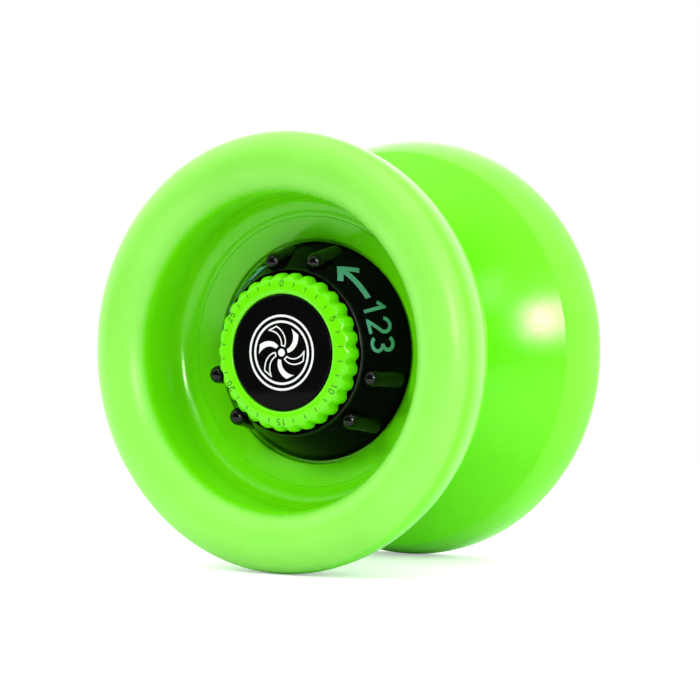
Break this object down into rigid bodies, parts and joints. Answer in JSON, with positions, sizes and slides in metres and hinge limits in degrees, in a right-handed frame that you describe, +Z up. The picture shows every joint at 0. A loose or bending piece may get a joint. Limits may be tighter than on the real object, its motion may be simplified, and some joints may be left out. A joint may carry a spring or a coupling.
{
  "type": "yo-yo",
  "caption": "Full-size ball-bearing yo-yo with deep-cupped plastic halves and a dial in each side that sets the string gap.",
  "frame": {"origin": "centre of the bearing, midway between the two halves on the spin axis", "axes": "Y is the spin axis, with the front half towards -Y; Z is up"},
  "size_m": [0.057, 0.041, 0.057],
  "materials": {
    "lime": "satin lime green plastic with a fine moulded grain",
    "black": "gloss black plastic",
    "grey": "grey glass-filled nylon",
    "silicone": "translucent white silicone",
    "steel": "zinc-plated steel",
    "bearing": "ground bearing steel",
    "nylon": "natural nylon"
  },
  "bodies": {
    "bearing_outer": {"bearing_outer_race": "bearing", "front_bearing_shield": "bearing", "back_bearing_shield": "bearing", "front_snap_ring": "bearing", "back_snap_ring": "bearing"},
    "ball_cage": {"bearing_cage": "nylon", "bearing_ball_1": "bearing", "bearing_ball_2": "bearing", "bearing_ball_3": "bearing", "bearing_ball_4": "bearing", "bearing_ball_5": "bearing", "bearing_ball_6": "bearing", "bearing_ball_7": "bearing", "bearing_ball_8": "bearing"},
    "core": {"axle": "steel", "bearing_inner_race": "bearing", "front_hub_core": "grey", "front_axle_nut": "steel", "front_click_ring": "lime", "front_cap": "black", "back_hub_core": "grey", "back_axle_nut": "steel", "back_click_ring": "lime", "back_cap": "black"},
    "front_half": {"front_shell": "lime", "front_response_pad": "silicone"},
    "front_dial_body": {"front_dial": "black", "front_detent_ball": "steel", "front_detent_spring": "steel"},
    "back_half": {"back_shell": "lime", "back_response_pad": "silicone"},
    "back_dial_body": {"back_dial": "black", "back_detent_ball": "steel", "back_detent_spring": "steel"}
  },
  "joints": [
    {"name": "yoyo_spin", "type": "hinge", "parent": "bearing_outer", "child": "core", "pos_m": [0, 0, 0], "axis": [0, 1, 0], "continuous": true},
    {"name": "cage_spin", "type": "hinge", "parent": "bearing_outer", "child": "ball_cage", "pos_m": [0, 0, 0], "axis": [0, 1, 0], "continuous": true},
    {"name": "front_gap_slide", "type": "slide", "parent": "core", "child": "front_half", "axis": [0, -1, 0], "range_m": [-0.0003, 0.0003]},
    {"name": "back_gap_slide", "type": "slide", "parent": "core", "child": "back_half", "axis": [0, 1, 0], "range_m": [-0.0003, 0.0003]},
    {"name": "front_dial_turn", "type": "hinge", "parent": "front_half", "child": "front_dial_body", "pos_m": [0, 0, 0], "axis": [0, -1, 0], "range_deg": [-60, 60]},
    {"name": "back_dial_turn", "type": "hinge", "parent": "back_half", "child": "back_dial_body", "pos_m": [0, 0, 0], "axis": [0, 1, 0], "range_deg": [-60, 60]}
  ],
  "couplings": [
    {"joint": "cage_spin", "follows": "yoyo_spin", "ratio": 0.4166},
    {"joint": "front_dial_turn", "follows": "front_gap_slide", "rad_per_m": 3490.7},
    {"joint": "back_dial_turn", "follows": "back_gap_slide", "rad_per_m": 3490.7}
  ]
}
